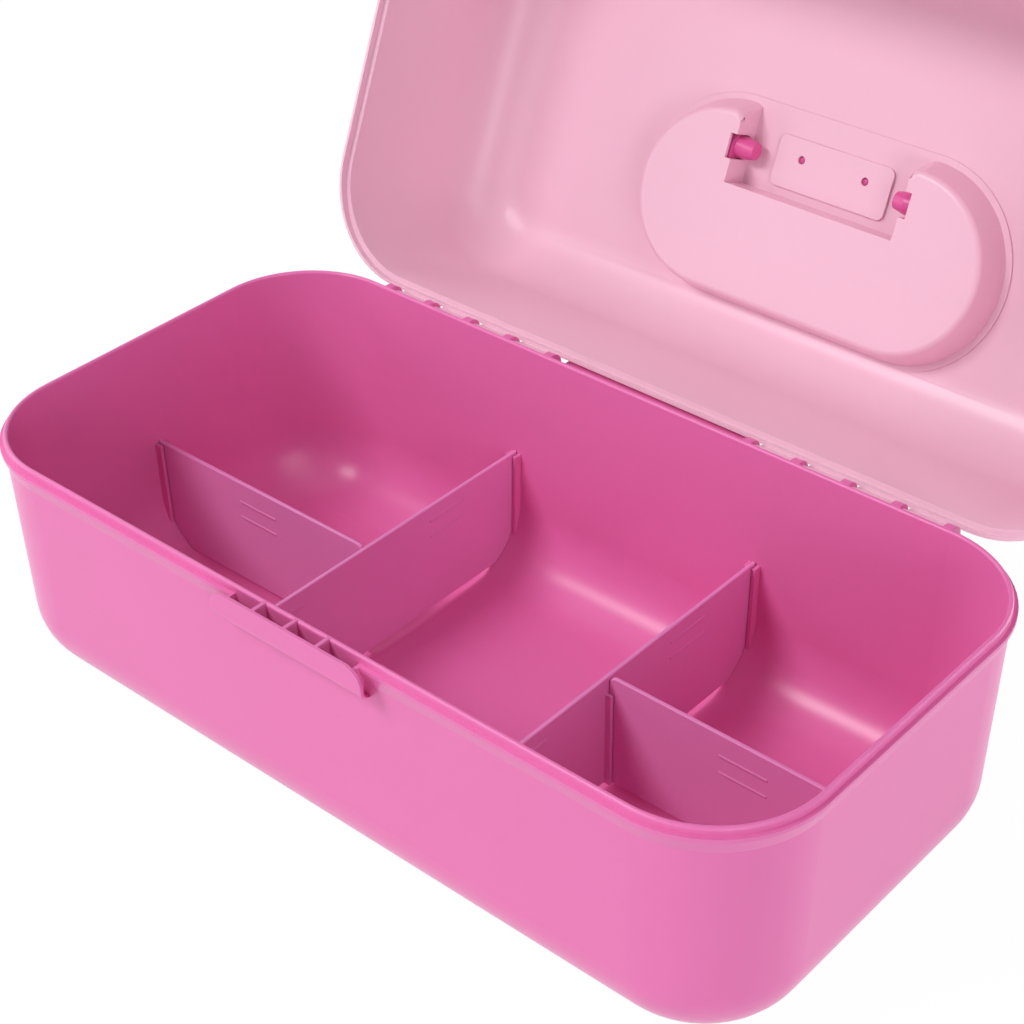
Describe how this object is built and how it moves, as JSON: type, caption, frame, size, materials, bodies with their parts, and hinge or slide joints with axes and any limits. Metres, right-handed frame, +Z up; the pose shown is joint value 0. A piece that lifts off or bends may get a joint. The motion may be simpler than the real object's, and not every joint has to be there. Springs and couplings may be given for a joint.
{
  "type": "makeup storage case",
  "caption": "Open moulded makeup storage case with a deep hinged lid, a fold-flat carry handle and lift-out dividers.",
  "frame": {"origin": "centre of the flat underside of the base", "axes": "+X along the case, +Y towards the hinge, +Z up"},
  "size_m": [0.306, 0.2876, 0.2283],
  "materials": {
    "base_plastic": "satin moulded polypropylene, mid pink",
    "lid_plastic": "satin moulded polypropylene, pale pink",
    "handle_plastic": "satin moulded polypropylene, mid pink like the base"
  },
  "bodies": {
    "base": {"base_box": "base_plastic"},
    "lid": {"lid": "lid_plastic", "inlay_plate": "handle_plastic"},
    "handle": {"carry_handle": "handle_plastic"},
    "cross_left": {"cross_divider_left": "base_plastic"},
    "cross_right": {"cross_divider_right": "base_plastic"},
    "long_left": {"long_divider_left": "base_plastic"},
    "long_right": {"long_divider_right": "base_plastic"}
  },
  "joints": [
    {"name": "lid_hinge", "type": "hinge", "parent": "base", "child": "lid", "pos_m": [0, 0.0806, 0.0798], "axis": [1, 0, 0], "range_deg": [0, 112.8]},
    {"name": "handle_hinge", "type": "hinge", "parent": "lid", "child": "handle", "pos_m": [0, 0.17717, 0.12501], "axis": [1, 0, 0], "range_deg": [0, 95]},
    {"name": "cross_left_lift", "type": "slide", "parent": "base", "child": "cross_left", "axis": [0, 0, 1], "range_m": [0, 0.06]},
    {"name": "cross_right_lift", "type": "slide", "parent": "base", "child": "cross_right", "axis": [0, 0, 1], "range_m": [0, 0.06]},
    {"name": "long_left_lift", "type": "slide", "parent": "base", "child": "long_left", "axis": [0, 0, 1], "range_m": [0, 0.06]},
    {"name": "long_right_lift", "type": "slide", "parent": "base", "child": "long_right", "axis": [0, 0, 1], "range_m": [0, 0.06]}
  ]
}
